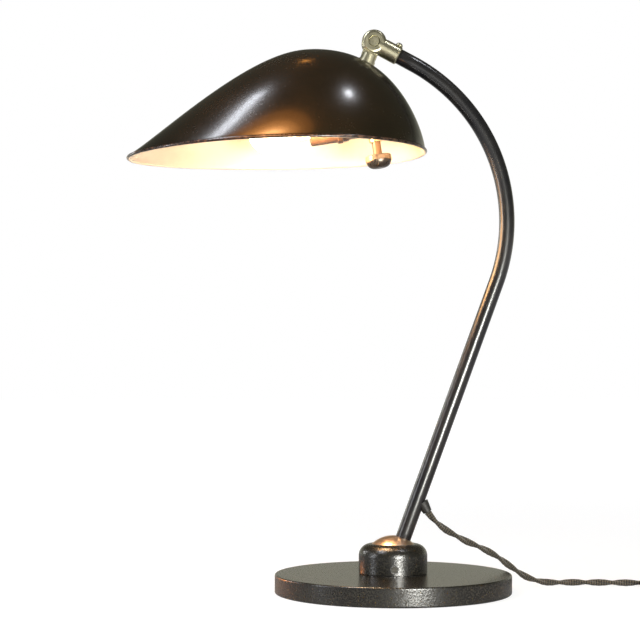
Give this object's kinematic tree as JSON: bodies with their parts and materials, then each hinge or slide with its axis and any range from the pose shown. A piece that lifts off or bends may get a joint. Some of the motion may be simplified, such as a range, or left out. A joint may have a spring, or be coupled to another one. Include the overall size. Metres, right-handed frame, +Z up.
{
  "type": "desk lamp",
  "caption": "Desk lamp with a heavy round base, a tilting bent tube arm on a domed pivot, and an oval enamelled metal shade over an upright-keyed lampholder and bulb.",
  "frame": {"origin": "centre of the base's underside, on the table", "axes": "+Z up; the arm bends in the X-Z plane and the shade hangs towards -X; the flex leaves the arm towards +X"},
  "size_m": [0.5496, 0.2, 0.4752],
  "materials": {
    "base_black": "glossy fine crackle enamel over cast iron",
    "felt": "pressed felt",
    "hub_black": "glossy fine crackle enamel",
    "steel": "bright zinc plated",
    "nickel": "polished nickel plate",
    "tube_black": "gloss black enamel",
    "bush_rubber": "moulded rubber",
    "flex": "braided twisted two-core flex",
    "aged_nickel": "worn nickel plate",
    "brass": "bright machined",
    "shade_enamel": "black-brown vitreous enamel outside, cream white inside",
    "bakelite": "polished brown phenolic",
    "ceramic": "glazed insulator",
    "lead": "insulated single core",
    "bulb_white": "opal white",
    "bulb_metal": "rolled sheet",
    "clear_glass": "clear"
  },
  "bodies": {
    "base": {"base_plate": "base_black", "felt_pad": "felt"},
    "hub": {"hub_housing": "hub_black", "swivel_plate": "steel", "plate_screws": "steel", "swivel_stud": "steel", "cone_washer": "steel", "flat_washer": "steel", "swivel_nut": "steel", "tilt_pin": "aged_nickel", "pin_springs": "steel", "pin_spacers": "brass", "cord_stretch": "flex", "cord_coil": "flex", "plug_body": "bakelite", "plug_pins": "brass"},
    "arm": {"arm_dome": "nickel", "arm_tube": "tube_black", "cord_bush": "bush_rubber", "arm_flex": "flex", "knuckle_fork": "aged_nickel", "knuckle_screw": "aged_nickel", "knuckle_nut": "aged_nickel", "knuckle_washers": "steel", "sleeve_screw": "aged_nickel"},
    "shade": {"shade_tongue": "aged_nickel", "seat_wedge": "aged_nickel", "shade_shell": "shade_enamel", "inner_wedge": "steel", "holder_strip": "steel", "nipple_nut": "brass", "holder_nipple": "brass", "holder_nut": "brass", "holder_cap": "bakelite", "holder_skirt": "bakelite", "skirt_ring": "bakelite", "thread_shell": "brass", "contact_block": "ceramic", "centre_contact": "brass", "holder_leads": "lead", "switch_bush": "brass", "bulb_glass": "bulb_white", "bulb_cap": "bulb_metal", "bulb_mount": "clear_glass", "filament": "bulb_metal"},
    "switch_key": {"switch_spindle": "aged_nickel", "switch_cam": "ceramic", "switch_knob": "aged_nickel"}
  },
  "joints": [
    {"name": "arm_swivel", "type": "hinge", "parent": "base", "child": "hub", "pos_m": [0, 0, 0.0165], "axis": [0, 0, 1], "continuous": true},
    {"name": "arm_tilt", "type": "hinge", "parent": "hub", "child": "arm", "pos_m": [0, 0, 0.0226], "axis": [0, 1, 0], "range_deg": [-40, 0]},
    {"name": "shade_tilt", "type": "hinge", "parent": "arm", "child": "shade", "pos_m": [-0.0161, 0, 0.46476], "axis": [0, 1, 0], "range_deg": [-4, 60]},
    {"name": "switch_turn", "type": "hinge", "parent": "shade", "child": "switch_key", "pos_m": [-0.0181, 0, 0.40476], "axis": [0.153, 0, -0.9882], "continuous": true}
  ]
}
